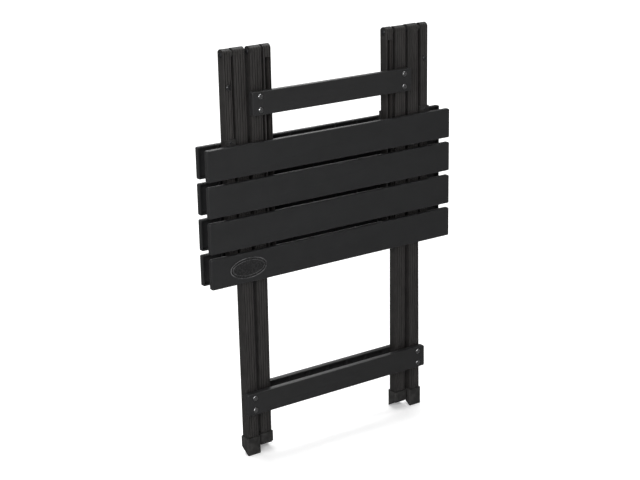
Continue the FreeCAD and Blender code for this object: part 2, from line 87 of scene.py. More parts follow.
def face_y(node, face):
    """Where a node's front or back surface lies."""
    low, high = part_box(node)
    return low.y if face == FRONT else high.y


PIVOT_Z = frame["joints"][0]["pos_m"][2]
RAIL_X = {half: node_middle(half + "_rail_right").x for half in HALVES}
LEG_X = {legs: node_middle(legs + "_leg_right").x for legs in LEG_FACES}

# The folded legs lean about the scissor pivot, because their hinge pins stand off their middle
PIN_OFFSET = 0.0016
PIN_TO_PIVOT = 0.262
LEAN = math.atan2(PIN_OFFSET, PIN_TO_PIVOT)

# The soles slope so that they lie flat when the table is open
SOLE_SLOPE = math.radians(31.6)
TREAD_DEPTH = 0.0009
TREAD_MARGIN = 0.0035

# Flutes of the legs and rails, the width of the painted highlight along the flutes' edges, and the dark line just
# below a bar's top, where it meets its plug
FLUTE_PITCH = 0.0044
FLUTE_WIDTH = 0.0017
FLUTE_HIGHLIGHT = 0.0006
LEG_FLUTES = 4
RAIL_FLUTES = 3
SEAM = 0.0010
# Wall of the legs and rails
BAR_WALL = 0.0015

# Where a slat's edge wear and painted edge highlight fade, from its edge, and depth of the painted highlight on
# the top of the badge's lines
EDGE_WEAR_AND_HIGHLIGHT = (0.0002, 0.0022)
RAISED = 0.0004

# Radius and height of each kind of head, and the depth of its recess if it has one
RIVET_HEAD = (0.0044, 0.0020)
RIVET_TAIL = (0.0036, 0.0015)
STUD_HEAD = (0.0044, 0.0028)
SCREW_HEAD = (0.0037, 0.0022, 0.0009)
TAB_SCREW_HEAD = (0.0024, 0.0012, 0.0005)
# The tab screws' height below the top of the slat clips
TAB_MIDDLE = 0.005


# ---- Sizes and colours that a user would change

class MouldedSizes(bpy.types.PropertyGroup):
    """Shape of the moulded slats and crossbars."""

    corner: FloatProperty(
        name="Corner", description="Rounding of a bar's four corners", default=0.0024,
        unit="LENGTH")
    rim: FloatProperty(
        name="Rim", description="Rounding of the rim of a bar's outer face", default=0.0013,
        unit="LENGTH")
    skin: FloatProperty(
        name="Skin", description="Thickness of the face behind which a bar is hollow",
        default=0.0026, unit="LENGTH")
    wall: FloatProperty(
        name="Wall", description="Wall round each hollow", default=0.0024, unit="LENGTH")
    rib: FloatProperty(
        name="Rib", description="Thickness of the ribs between hollows", default=0.0018,
        unit="LENGTH")
    bay: FloatProperty(
        name="Bay", description="Longest hollow between two ribs", default=0.045, unit="LENGTH")
    boss: FloatProperty(
        name="Boss", description="Solid length each side of a screw", default=0.0091,
        unit="LENGTH")
    back_rise: FloatProperty(
        name="Back rise", description="How much taller the back slats are at their upper edge",
        default=0.0013, unit="LENGTH")


class FootSizes(bpy.types.PropertyGroup):
    """Shape of the feet."""

    corner: FloatProperty(
        name="Corner", description="Rounding of a foot's upright corners", default=0.0022,
        unit="LENGTH")
    edge: FloatProperty(
        name="Edge", description="Rounding of a foot's mouth and sole", default=0.0008,
        unit="LENGTH")
    grip: FloatProperty(
        name="Grip", description="Depth of the socket that the leg stands in", default=0.02,
        unit="LENGTH")
    wall: FloatProperty(
        name="Wall", description="Wall round the leg", default=0.00185, unit="LENGTH")
    treads: IntProperty(
        name="Treads", description="Grooves across the sole", default=4, min=1, max=9)


class BadgeSizes(bpy.types.PropertyGroup):
    """Shape of the plain oval badge."""

    rim: FloatProperty(
        name="Rim", description="Width of the raised rim", default=0.0013, unit="LENGTH")
    field: FloatProperty(
        name="Field", description="How far the field lies below the rim", default=0.0008,
        unit="LENGTH")
    bead: FloatProperty(
        name="Bead", description="Gap between the rim and the raised inner oval",
        default=0.0030, unit="LENGTH")


class Finishes(bpy.types.PropertyGroup):
    """Colours of the table's materials."""

    slat: FloatVectorProperty(
        name="Slat plastic", description="Colour of the moulded slats", subtype="COLOR",
        default=(0.0186, 0.0188, 0.0195), min=0, max=1)
    crossbar: FloatVectorProperty(
        name="Crossbar plastic", description="Colour of the moulded crossbars",
        subtype="COLOR", default=(0.0200, 0.0200, 0.0205), min=0, max=1)
    metal: FloatVectorProperty(
        name="Leg metal", description="Colour of the coated legs and rails",
        subtype="COLOR", default=(0.0190, 0.0178, 0.0171), min=0, max=1)
    foot: FloatVectorProperty(
        name="Foot plastic", description="Colour of the feet", subtype="COLOR",
        default=(0.0190, 0.0184, 0.0178), min=0, max=1)
    rivet: FloatVectorProperty(
        name="Rivet metal", description="Colour of the domed rivets", subtype="COLOR",
        default=(0.60, 0.60, 0.61), min=0, max=1)
    screw: FloatVectorProperty(
        name="Screw metal", description="Colour of the plated studs and screws",
        subtype="COLOR", default=(0.050, 0.050, 0.052), min=0, max=1)
    pin: FloatVectorProperty(
        name="Pin metal", description="Colour of the hinge pins and the pivot bolts",
        subtype="COLOR", default=(0.030, 0.030, 0.032), min=0, max=1)
    floor: FloatVectorProperty(
        name="Floor", description="Colour of the floor", subtype="COLOR",
        default=(0.90, 0.90, 0.90), min=0, max=1)


class TableSettings(bpy.types.PropertyGroup):
    """All of the table's settings."""

    moulded: PointerProperty(type=MouldedSizes)
    foot: PointerProperty(type=FootSizes)
    badge: PointerProperty(type=BadgeSizes)
    finish: PointerProperty(type=Finishes)


def settings():
    """The table's settings in this scene."""
    return bpy.context.scene.slatted_table


# ---- Finishes

MATERIALS = {}


class NodeMaker:
    """Adds nodes to one node tree. An input is a socket, which is linked, or a plain value."""

    def __init__(self, tree):
        self.tree = tree

    def feed(self, socket, value):
        """Links or sets one input."""
        if isinstance(value, bpy.types.NodeSocket):
            self.tree.links.new(value, socket)
        else:
            socket.default_value = value

    def add(self, kind, inputs, **options):
        """A new node with its options and inputs set."""
        node = self.tree.nodes.new(kind)
        for option, value in options.items():
            setattr(node, option, value)
        for name, value in inputs.items():
            self.feed(node.inputs[name], value)
        return node

    def place(self):
        """Object coordinates."""
        return self.add("ShaderNodeTexCoord", {}).outputs["Object"]

    def stretched(self, scale):
        """Object coordinates, stretched by a scale for each axis."""
        return self.add("ShaderNodeMapping", {"Vector": self.place(), "Scale": scale}).outputs["Vector"]

    def along(self, axis):
        """The object coordinate on one axis."""
        return self.add("ShaderNodeSeparateXYZ", {"Vector": self.place()}).outputs[axis]

    def noise(self, vector, scale, detail, roughness=0.5):
        """A noise texture."""
        inputs = {"Vector": vector, "Scale": scale, "Detail": detail, "Roughness": roughness}
        return self.add("ShaderNodeTexNoise", inputs).outputs["Fac"]

    def spread(self, value, low, high, from_low=0.35, from_high=0.65):
        """Takes a range, unless given the middle of a noise's, to a range from low to high."""
        inputs = {"Value": value, "From Min": from_low, "From Max": from_high,
                  "To Min": low, "To Max": high}
        return self.add("ShaderNodeMapRange", inputs).outputs["Result"]

    def math(self, operation, first, second=0):
        """Arithmetic on sockets or numbers."""
        node = self.add("ShaderNodeMath", {}, operation=operation)
        for socket, value in zip(node.inputs, (first, second)):
            self.feed(socket, value)
        return node.outputs["Value"]

    def blended(self, factor, first, second):
        """The first colour, turned into the second where the factor is 1."""
        inputs = {"Factor": factor, "A": first, "B": second}
        return self.add("ShaderNodeMix", inputs, data_type="RGBA").outputs["Result"]

    def bump(self, height, strength, distance, below=None):
        """A bump, on top of another where one is given."""
        inputs = {"Height": height, "Strength": strength, "Distance": distance}
        if below is not None:
            inputs["Normal"] = below
        return self.add("ShaderNodeBump", inputs).outputs["Normal"]


class Surface(NodeMaker):
    """One material with a Principled shader."""

    def __init__(self, name, metallic, roughness, specular):
        self.material = bpy.data.materials.new(name)
        self.material.use_nodes = True
        super().__init__(self.material.node_tree)
        self.give({"Metallic": metallic, "Roughness": roughness, "Specular IOR Level": specular})

    def give(self, inputs):
        """Feeds inputs of the shader."""
        for name, value in inputs.items():
            self.feed(self.tree.nodes["Principled BSDF"].inputs[name], value)


def shade(colour, share=1.0):
    """A colour made lighter or darker, with its alpha."""
    return (*(min(1.0, c * share) for c in colour), 1)


def slat_edge_wear(surface, top, pitch, height):
    """1 along the upper and lower edges of slats that repeat down Z, broken up by noise: edge wear that also
    serves as a painted highlight.
    """
    down = surface.math("SUBTRACT", top, surface.along("Z"))
    within = surface.math("FLOORED_MODULO", down, pitch)
    from_middle = surface.math("ABSOLUTE", surface.math("SUBTRACT", within, height / 2))
    narrow, wide = EDGE_WEAR_AND_HIGHLIGHT
    edge = surface.spread(from_middle, 0, 1, height / 2 - wide, height / 2 - narrow)
    patches = surface.noise(surface.place(), scale=55, detail=4, roughness=0.6)
    return surface.math("MULTIPLY", edge, surface.spread(patches, 0, 1, 0.46, 0.68))


def moulded_plastic(name, colour, roughness, specular, wear_and_highlight_rows=None):
    """Satin moulded plastic: fine grain, slow waves from moulding and, on slats, worn edges that also carry a
    painted highlight.
    """
    surface = Surface(name, 0, roughness, specular)
    moulded = surface.stretched((0.25, 1, 1.6))
    mottle = surface.noise(surface.place(), scale=38, detail=5, roughness=0.6)
    flow = surface.noise(moulded, scale=26, detail=4, roughness=0.55)
    uneven = surface.math("ADD", surface.math("MULTIPLY", mottle, 0.6),
                          surface.math("MULTIPLY", flow, 0.4))
    base = surface.blended(surface.spread(uneven, 0, 1), shade(colour, 0.93), shade(colour, 1.07))
    if wear_and_highlight_rows:
        worn_and_lit = slat_edge_wear(surface, *wear_and_highlight_rows)
        # Paler edges: wear, and a painted highlight along the slats' edges
        base = surface.blended(worn_and_lit, base, shade(colour, 1.8))
    waves = surface.noise(moulded, scale=30, detail=2)
    grain = surface.noise(surface.place(), scale=2400, detail=2)
    normal = surface.bump(waves, strength=0.04, distance=0.0012)
    surface.give({
        "Base Color": base,
        "Roughness": surface.spread(flow, roughness - 0.03, roughness + 0.04),
        "Normal": surface.bump(grain, strength=0.08, distance=0.00015, below=normal),
    })
    return surface.material


def flute_masks(surface, bar_x, count):
    """Two masks of a bar's flutes: a painted highlight along their edges, and painted shade in their grooves."""
    first_groove = (count - 1) / 2 * FLUTE_PITCH
    from_bar = surface.math("SUBTRACT", surface.math("ABSOLUTE", surface.along("X")), bar_x)
    shifted = surface.math("ADD", from_bar, first_groove + FLUTE_PITCH / 2)
    within = surface.math("FLOORED_MODULO", shifted, FLUTE_PITCH)
    from_groove = surface.math("ABSOLUTE", surface.math("SUBTRACT", within, FLUTE_PITCH / 2))
    highlight_middle = FLUTE_WIDTH / 2 + FLUTE_HIGHLIGHT / 2
    off_edge = surface.math("ABSOLUTE", surface.math("SUBTRACT", from_groove, highlight_middle))
    edge = surface.spread(off_edge, 1, 0, FLUTE_HIGHLIGHT * 0.35, FLUTE_HIGHLIGHT * 0.8)
    groove = surface.spread(from_groove, 1, 0, FLUTE_WIDTH * 0.42, FLUTE_WIDTH * 0.56)
    reach = first_groove + FLUTE_WIDTH / 2 + FLUTE_HIGHLIGHT
    on_face = surface.math("LESS_THAN", surface.math("ABSOLUTE", from_bar), reach)
    drawn = surface.noise(surface.stretched((1, 1, 0.08)), scale=160, detail=4, roughness=0.6)
    edge = surface.math("MULTIPLY", edge, on_face)
    edge = surface.math("MULTIPLY", edge, surface.spread(drawn, 0.45, 1))
    return edge, surface.math("MULTIPLY", groove, on_face)


def coated_metal(name, colour, roughness, bar_x, flutes, top):
    """Dark coated bar: fine drawn lines along Z, uneven coat, a painted highlight on the flutes' edges, painted
    shade in their grooves and a dark line at the plug.
    """
    surface = Surface(name, 0, roughness, 0.42)
    cloud = surface.spread(surface.noise(surface.place(), scale=60, detail=5, roughness=0.6), 0, 1)
    base = surface.blended(cloud, shade(colour, 0.85), shade(colour, 1.25))
    rubbed_and_highlight, groove_shade = flute_masks(surface, bar_x, flutes)
    seam = surface.spread(surface.along("Z"), 0, 1, top - SEAM * 1.3, top - SEAM)
    # Painted shade in the flutes' grooves, a painted highlight on their edges, and a dark line just below the plug
    for mask, share in ((groove_shade, 0.2), (rubbed_and_highlight, 3.2), (seam, 0.12)):
        base = surface.blended(mask, base, shade(colour, share))
    lines = surface.noise(surface.stretched((1, 1, 0.012)), scale=2600, detail=2)
    peel = surface.noise(surface.place(), scale=900, detail=2)
    normal = surface.bump(lines, strength=0.05, distance=0.00010)
    surface.give({
        "Base Color": base,
        "Roughness": surface.spread(lines, roughness - 0.05, roughness + 0.07),
        "Normal": surface.bump(peel, strength=0.07, distance=0.00015, below=normal),
        "Coat Weight": 0.05,
        "Coat Roughness": 0.25,
    })
    return surface.material


def rubbed_badge(name, colour, roughness, specular, front):
    """Glossy moulded plastic whose raised lines are painted paler in patches, as a painted highlight."""
    surface = Surface(name, 0, roughness, specular)
    raised = surface.spread(surface.along("Y"), 1, 0, front + RAISED * 0.5, front + RAISED)
    patches = surface.noise(surface.place(), scale=70, detail=4, roughness=0.6)
    cloud = surface.spread(surface.noise(surface.place(), scale=300, detail=4, roughness=0.6), 0, 1)
    base = surface.blended(cloud, shade(colour, 0.7), shade(colour, 0.95))
    # Painted highlight: the raised lines made paler in patches
    rubbed_and_highlight = surface.math("MULTIPLY", raised, surface.spread(patches, 0.15, 1, 0.38, 0.62))
    grain = surface.noise(surface.place(), scale=2400, detail=2)
    surface.give({
        "Base Color": surface.blended(rubbed_and_highlight, base, shade(colour, 5.5)),
        "Roughness": surface.spread(cloud, roughness - 0.04, roughness + 0.08, 0, 1),
        "Normal": surface.bump(grain, strength=0.08, distance=0.00012),
    })
    return surface.material


def matt_rubbery(name, colour, roughness):
    """Matt moulded feet and plugs: coarse grain, with dust in patches."""
    surface = Surface(name, 0, roughness, 0.28)
    dust = surface.noise(surface.place(), scale=120, detail=6, roughness=0.65)
    dust = surface.spread(dust, 0, 1, 0.42, 0.7)
    grain = surface.noise(surface.place(), scale=1500, detail=3, roughness=0.6)
    surface.give({
        "Base Color": surface.blended(dust, shade(colour), shade(colour, 2.1)),
        "Roughness": surface.spread(dust, roughness - 0.05, roughness + 0.1, 0, 1),
        "Normal": surface.bump(grain, strength=0.3, distance=0.00025),
    })
    return surface.material


def bright_metal(name, colour, roughness):
    """Bright rivet metal with fine scratches and a little tarnish."""
    surface = Surface(name, 1, roughness, 0.5)
    tarnish = surface.noise(surface.place(), scale=420, detail=5, roughness=0.65)
    tarnish = surface.spread(tarnish, 0, 1, 0.4, 0.75)
    scratches = surface.noise(surface.stretched((1, 1, 0.12)), scale=2600, detail=3, roughness=0.7)
    surface.give({
        "Base Color": surface.blended(tarnish, shade(colour), shade(colour, 0.45)),
        "Roughness": surface.spread(scratches, roughness - 0.06, roughness + 0.14),
        "Normal": surface.bump(scratches, strength=0.15, distance=0.00012),
    })
    return surface.material


def plated_metal(name, colour, roughness):
    """Black plated steel, rubbed brighter on its high spots."""
    surface = Surface(name, 0.8, roughness, 0.5)
    rubbed_and_highlight = surface.noise(surface.place(), scale=650, detail=5, roughness=0.7)
    rubbed_and_highlight = surface.spread(rubbed_and_highlight, 0, 1, 0.5, 0.72)
    grain = surface.noise(surface.place(), scale=3000, detail=2)
    surface.give({
        "Base Color": surface.blended(rubbed_and_highlight, shade(colour), shade(colour, 4.0)),
        "Roughness": surface.spread(rubbed_and_highlight, roughness + 0.06, roughness - 0.1, 0, 1),
        "Normal": surface.bump(grain, strength=0.12, distance=0.0001),
    })
    return surface.material


def bar_metals(colour):
    """The metal of each kind of leg and rail, whose flutes lie where those bars are."""
    metals = {}
    for legs, leg_x in LEG_X.items():
        bar = legs + "_leg"
        metals[bar] = coated_metal(bar + "_metal", colour, 0.42, leg_x, LEG_FLUTES,
                                   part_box(bar + "_right")[1].z)
    for half, rail_x in RAIL_X.items():
        bar = half + "_rail"
        metals[bar] = coated_metal(bar + "_metal", colour, 0.40, rail_x, RAIL_FLUTES,
                                   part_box(bar + "_right")[1].z)
    return metals


class TABLE_OT_finishes(bpy.types.Operator):
    """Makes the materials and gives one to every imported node"""

    bl_idname = "slatted_table.finishes"
    bl_label = "Materials"

    def execute(self, context):
        finish = settings().finish
        low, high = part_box("front_slat_1")
        pitch = high.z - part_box("front_slat_2")[1].z
        rows = (high.z, pitch, high.z - low.z)
        badge_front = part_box("badge")[0].y
        MATERIALS.update({
            "slat_plastic": moulded_plastic("slat_plastic", finish.slat, 0.38, 0.34, rows),
            "crossbar_plastic": moulded_plastic("crossbar_plastic", finish.crossbar, 0.38, 0.34),
            "foot_plastic": matt_rubbery("foot_plastic", finish.foot, 0.68),
            "plug_plastic": matt_rubbery("plug_plastic", finish.foot, 0.58),
            "rivet_metal": bright_metal("rivet_metal", finish.rivet, 0.21),
            "screw_metal": plated_metal("screw_metal", finish.screw, 0.24),
            "pin_metal": plated_metal("pin_metal", finish.pin, 0.38),
            "badge": rubbed_badge("badge", finish.crossbar, 0.24, 0.45, badge_front),
        })
        bars = bar_metals(finish.metal)
        slots = {part["node"]: part["material_slot"] for part in frame["record"]["subparts"]}
        for name, piece in frame["nodes"].items():
            bar = name.rsplit("_", 1)[0]
            piece.data.materials.clear()
            piece.data.materials.append(bars.get(bar) or MATERIALS[slots[name]])
        return {"FINISHED"}


# ---- Modelling by hand

def deselect():
    """Leaves edit mode and selects nothing."""
    if bpy.context.mode != "OBJECT":
        bpy.ops.object.mode_set(mode="OBJECT")
    bpy.ops.object.select_all(action="DESELECT")


def start_box(name, low, high):
    """A box between two corners, ready for edit mode."""
    deselect()
    middle = (Vector(low) + Vector(high)) / 2
    bpy.ops.mesh.primitive_cube_add(size=1, location=middle)
    piece = bpy.context.object
    piece.name = name
    piece.scale = Vector(high) - Vector(low)
    bpy.ops.object.transform_apply(location=True, rotation=True, scale=True)
    return piece


def start_disc(name, middle, radius, depth, sides, axis):
    """A cylinder along an axis, with its place in its mesh."""
    deselect()
    turn = Vector((0, 0, 1)).rotation_difference(Vector(axis)).to_euler()
    bpy.ops.mesh.primitive_cylinder_add(vertices=sides, radius=radius, depth=depth,
                                        location=middle, rotation=turn)
    piece = bpy.context.object
    piece.name = name
    bpy.ops.object.transform_apply(location=True, rotation=True, scale=True)
    return piece


def edit(mode):
    """Opens the active piece in edit mode with nothing selected."""
    bpy.ops.object.mode_set(mode="EDIT")
    bpy.ops.mesh.select_all(action="DESELECT")
    bpy.ops.mesh.select_mode(type=mode)


def select(piece, elements, wanted):
    """Selects the faces or edges that a test wants, and raises an error if there are none."""
    bpy.ops.mesh.select_all(action="DESELECT")
    mesh = bmesh.from_edit_mesh(piece.data)
    found = [element for element in getattr(mesh, elements) if wanted(element)]
    if not found:
        raise RuntimeError(f"{piece.name} has no {elements} where they were expected")
    for element in found:
        element.select_set(True)
    bmesh.update_edit_mesh(piece.data)


# Smallest distance that tells two places on a piece apart, and what a count of steps ignores
NEAR = 1e-5
ROUND_OFF = 1e-6


def all_at(element, axis, value):
    """Whether every corner of a face or edge lies at a value on an axis."""
    return all(abs(v.co[axis] - value) < NEAR for v in element.verts)


def middle_of(element):
    """The average place of a face's or edge's corners."""
    return sum((v.co for v in element.verts), Vector()) / len(element.verts)


def runs_along(edge, axis):
    """Whether an edge runs along an axis."""
    along = edge.verts[1].co - edge.verts[0].co
    return abs(along[axis]) > 0.999 * along.length


def cut_across(piece, axis, value):
    """Cuts the selected faces with a plane across an axis."""
    place, normal = Vector(), Vector()
    place[axis], normal[axis] = value, 1
    bpy.ops.mesh.bisect(plane_co=place, plane_no=normal)


def push_in(offset):
    """Extrudes the selected faces together and moves them by an offset."""
    bpy.ops.mesh.extrude_region_move(TRANSFORM_OT_translate={"value": offset})


def close_edit(piece, angle=32):
    """Leaves edit mode with normals outward and soft shading below an angle."""
    bpy.ops.mesh.select_all(action="SELECT")
    bpy.ops.mesh.normals_make_consistent(inside=False)
    bpy.ops.object.mode_set(mode="OBJECT")
    bpy.ops.object.shade_smooth_by_angle(angle=math.radians(angle))


def finish_piece(piece, slot, body, *nodes):
    """Gives a piece its material and its body, and hides the nodes that it stands for."""
    piece.data.materials.clear()
    piece.data.materials.append(MATERIALS[slot])
    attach(piece, body)
    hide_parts(*nodes)


def copy_moved(piece, name, offset):
    """A copy with its own mesh, moved within the mesh."""
    twin = piece.copy()
    twin.data = piece.data.copy()
    twin.name = name
    twin.data.transform(Matrix.Translation(offset))
    bpy.context.scene.collection.objects.link(twin)
    return twin


def joined(pieces, name):
    """Several parts as one piece."""
    deselect()
    for piece in pieces:
        piece.select_set(True)
    bpy.context.view_layer.objects.active = pieces[0]
    bpy.ops.object.join()
    pieces[0].name = name
    return pieces[0]


def bay_edges(start, end, longest, rib):
    """Both ends of each of the equal hollows between start and end."""
    count = math.ceil((end - start) / longest - ROUND_OFF)
    pitch = (end - start) / count
    return [(start + i * pitch + rib / 2, start + (i + 1) * pitch - rib / 2) for i in range(count)]


# Segments of a full rounding and of a slight one, and an inner rim's share of an outer one
ROUNDED = 4
EASED = 2
INNER_RIM = 0.25


def moulded_bar(name, low, high, face, bays):
    """A bar with rounded corners, a rounded outer rim and ribbed hollows in its back."""
    sizes = settings().moulded
    piece = start_box(name, low, high)
    outer, inner = (low[1], high[1]) if face == FRONT else (high[1], low[1])
    edit("EDGE")
    select(piece, "edges", lambda e: runs_along(e, 1))
    bpy.ops.mesh.bevel(offset=sizes.corner, segments=ROUNDED, affect="EDGES")
    select(piece, "edges", lambda e: all_at(e, 1, outer))
    bpy.ops.mesh.bevel(offset=sizes.rim, segments=ROUNDED, affect="EDGES")
    select(piece, "edges", lambda e: all_at(e, 1, inner))
    bpy.ops.mesh.bevel(offset=sizes.rim * INNER_RIM, segments=EASED, affect="EDGES")
    bpy.ops.mesh.select_mode(type="FACE")
    bottom, top = low[2] + sizes.wall, high[2] - sizes.wall
    cuts = [(0, x) for bay in bays for x in bay] + [(2, bottom), (2, top)]
    for axis, value in cuts:
        select(piece, "faces", lambda f: all_at(f, 1, inner))
        cut_across(piece, axis, value)

    def in_bay(f):
        if not all_at(f, 1, inner):
            return False
        at = middle_of(f)
        return bottom < at.z < top and any(a < at.x < b for a, b in bays)

    select(piece, "faces", in_bay)
    push_in((0, face * (abs(outer - inner) - sizes.skin), 0))
    close_edit(piece)
    return piece


class TABLE_OT_slats(bpy.types.Operator):
    """Models one slat for each half of the top and copies it down the half"""

    bl_idname = "slatted_table.slats"
    bl_label = "Slats"

    def execute(self, context):
        sizes = settings().moulded
        for half, face in HALVES.items():
            low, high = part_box(half + "_slat_1")
            drop_from = low.z
            if half == "back":
                high.z += sizes.back_rise
            end = high.x - sizes.wall + sizes.rib / 2
            inner_end, outer_end = RAIL_X[half] - sizes.boss, RAIL_X[half] + sizes.boss
            bays = []
            for start, stop in ((-end, -outer_end), (-inner_end, inner_end), (outer_end, end)):
                bays += bay_edges(start, stop, sizes.bay, sizes.rib)
            first = moulded_bar(half + "_slat_face_1", low, high, face, bays)
            slats = [first]
            for i in range(2, SLATS_PER_HALF + 1):
                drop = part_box(half + "_slat_" + str(i))[0].z - drop_from
                slats.append(copy_moved(first, half + "_slat_face_" + str(i), (0, 0, drop)))
            for i, piece in enumerate(slats, 1):
                finish_piece(piece, "slat_plastic", half + "_top", half + "_slat_" + str(i))
        return {"FINISHED"}


def lean(legs, way=1):
    """The turn by which a pair of folded legs leans, or with way -1 the turn back."""
    turn = Matrix.Rotation(way * LEAN * LEG_FACES[legs], 4, "X")
    pivot = Matrix.Translation((0, 0, PIVOT_Z))
    return pivot @ turn @ pivot.inverted()


def upright_box(node, legs):
    """A leaning node's box before it leaned."""
    back = lean(legs, -1)
    points = [back @ v.co for v in frame["nodes"][node].data.vertices]
    low = Vector([min(p[i] for p in points) for i in range(3)])
    high = Vector([max(p[i] for p in points) for i in range(3)])
    return low, high


class TABLE_OT_crossbars(bpy.types.Operator):
    """Models the three crossbars"""

    bl_idname = "slatted_table.crossbars"
    bl_label = "Crossbars"

    def execute(self, context):
        sizes = settings().moulded
        for name, (legs, face) in CROSSBARS.items():
            low, high = upright_box(name, legs)
            span = LEG_X[legs] - node_size(legs + "_leg_right").x
            bays = bay_edges(-span, span, sizes.bay, sizes.rib)
            piece = moulded_bar(name + "_face", low, high, face, bays)
            piece.data.transform(lean(legs))
            finish_piece(piece, "crossbar_plastic", legs + "_legs", name)
        return {"FINISHED"}


class TABLE_OT_feet(bpy.types.Operator):
    """Models a foot with a sloping sole for each leg"""

    bl_idname = "slatted_table.feet"
    bl_label = "Feet"

    def execute(self, context):
        for legs, face in LEG_FACES.items():
            for side in ("left", "right"):
                node = legs + "_foot_" + side
                piece = foot(node + "_cap", *upright_box(node, legs), face)
                piece.data.transform(lean(legs))
                finish_piece(piece, "foot_plastic", legs + "_legs", node)
        return {"FINISHED"}


def foot(name, low, high, face):
    """A cup with rounded corners, a socket in its top and a grooved sole that slopes."""
    sizes = settings().foot
    piece = start_box(name, low, high)
    edit("FACE")
    bpy.ops.mesh.select_all(action="SELECT")
    toe = Vector((0, low.y if face == FRONT else high.y, low.z))
    down = Vector((0, -face * math.sin(SOLE_SLOPE), -math.cos(SOLE_SLOPE)))
    bpy.ops.mesh.bisect(plane_co=toe, plane_no=down, clear_outer=True, use_fill=True)
    bpy.ops.mesh.select_mode(type="EDGE")
    select(piece, "edges", lambda e: runs_along(e, 2))
    bpy.ops.mesh.bevel(offset=sizes.corner, segments=ROUNDED, affect="EDGES")
    bpy.ops.mesh.select_mode(type="FACE")

    def sole(f):
        return f.normal.dot(down) > 0.99

    groove = (high.y - low.y) / (2 * sizes.treads + 1)
    lines = [low.y + groove * i for i in range(1, 2 * sizes.treads + 1)]
    for y in lines:
        select(piece, "faces", sole)
        cut_across(piece, 1, y)
    pairs = list(zip(lines[0::2], lines[1::2]))
    left, right = low.x + TREAD_MARGIN, high.x - TREAD_MARGIN
    for x in (left, right):
        select(piece, "faces", sole)
        cut_across(piece, 0, x)

    def in_groove(f):
        at = middle_of(f)
        return sole(f) and left < at.x < right and any(a < at.y < b for a, b in pairs)

    select(piece, "faces", in_groove)
    push_in(-down * TREAD_DEPTH)
    select(piece, "faces", lambda f: all_at(f, 2, high.z))
    bpy.ops.mesh.inset(thickness=sizes.wall, depth=0)
    push_in((0, 0, -sizes.grip))
    bpy.ops.mesh.select_mode(type="EDGE")
    select(piece, "edges", lambda e: all_at(e, 2, high.z))
    bpy.ops.mesh.bevel(offset=sizes.edge / 2, segments=EASED, affect="EDGES")
    close_edit(piece)
    return piece


BADGE_SIDES = 96
# Shares of the field's depth: the inner oval's height and the rounding of the raised lines
OVAL_HEIGHT = 0.8
LINE_ROUNDING = 0.35
# The inner oval's share of the rim's width
OVAL_WIDTH = 0.6


class TABLE_OT_badge(bpy.types.Operator):
    """Models the plain oval badge with its raised rim and inner oval"""

    bl_idname = "slatted_table.badge"
    bl_label = "Badge"

    def execute(self, context):
        sizes = settings().badge
        low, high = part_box("badge")
        middle = (low + high) / 2
        piece = start_disc("badge_oval", middle, 0.5, high.y - low.y, BADGE_SIDES, (0, -1, 0))
        edit("FACE")
        bpy.ops.mesh.select_all(action="SELECT")
        bpy.ops.transform.resize(value=(high.x - low.x, 1, high.z - low.z), center_override=middle)
        sunk = sizes.field
        raised = sunk * OVAL_HEIGHT
        select(piece, "faces", lambda f: all_at(f, 1, low.y))
        for width, depth in ((sizes.rim, sunk), (sizes.bead, -raised), (sizes.rim * OVAL_WIDTH, raised)):
            bpy.ops.mesh.inset(thickness=width, depth=0)
            push_in((0, depth, 0))
        bpy.ops.mesh.select_mode(type="EDGE")
        levels = (low.y, low.y + sunk, low.y + sunk - raised)
        select(piece, "edges", lambda e: any(all_at(e, 1, y) for y in levels))
        bpy.ops.mesh.bevel(offset=sunk * LINE_ROUNDING, segments=3, affect="EDGES")
        close_edit(piece, 50)
        finish_piece(piece, "badge", "front_top", "badge")
        return {"FINISHED"}


# A head's flange as a share of its height, the steps of its dome and the sides of its outline
HEAD_FLANGE = 0.18
HEAD_STEPS = 5
HEAD_SIDES = 36
# Shares of the dome's flat top: the rim left round a recess and the taper of its wall
RECESS_RIM = 0.25
RECESS_TAPER = 0.2


def domed_head(base, axis, radius, height, recess=0.0):
    """A round head: a short flange that closes in to a dome, with a recess if one is asked for."""
    axis = Vector(axis)
    flange = height * HEAD_FLANGE
    middle = Vector(base) + axis * flange / 2
    piece = start_disc("head", middle, radius, flange, HEAD_SIDES, axis)
    edit("FACE")
    select(piece, "faces", lambda f: f.normal.dot(axis) > 0.99)
    here, up = radius, 0.0
    for step in range(1, HEAD_STEPS + 1):
        angle = math.pi / 2 * step / (HEAD_STEPS + 1)
        there, higher = radius * math.cos(angle), (height - flange) * math.sin(angle)
        bpy.ops.mesh.inset(thickness=here - there, depth=higher - up)
        here, up = there, higher
    if recess:
        bpy.ops.mesh.inset(thickness=here * RECESS_RIM, depth=0)
        bpy.ops.mesh.inset(thickness=here * RECESS_TAPER, depth=-recess)
    close_edit(piece, 40)
    return piece


class TABLE_OT_rivets(bpy.types.Operator):
    """Models the domed rivets at the ends of each crossbar"""

    bl_idname = "slatted_table.rivets"
    bl_label = "Rivets"

    def execute(self, context):
        for bar, (legs, face) in CROSSBARS.items():
            node = bar + "_rivets"
            low, high = upright_box(node, legs)
            bar_low, bar_high = upright_box(bar, legs)
            outer, inner = (bar_low.y, bar_high.y) if face == FRONT else (bar_high.y, bar_low.y)
            wall = inner - face * BAR_WALL
            radius = RIVET_HEAD[0]
            heads = []
            for side in (LEFT, RIGHT):
                for z in (low.z + radius, high.z - radius):
                    x = side * LEG_X[legs]
                    heads.append(domed_head((x, outer, z), (0, face, 0), *RIVET_HEAD))
                    heads.append(domed_head((x, wall, z), (0, -face, 0), *RIVET_TAIL))
            piece = joined(heads, node + "_heads")
            piece.data.transform(lean(legs))
            finish_piece(piece, "rivet_metal", legs + "_legs", node)
        return {"FINISHED"}


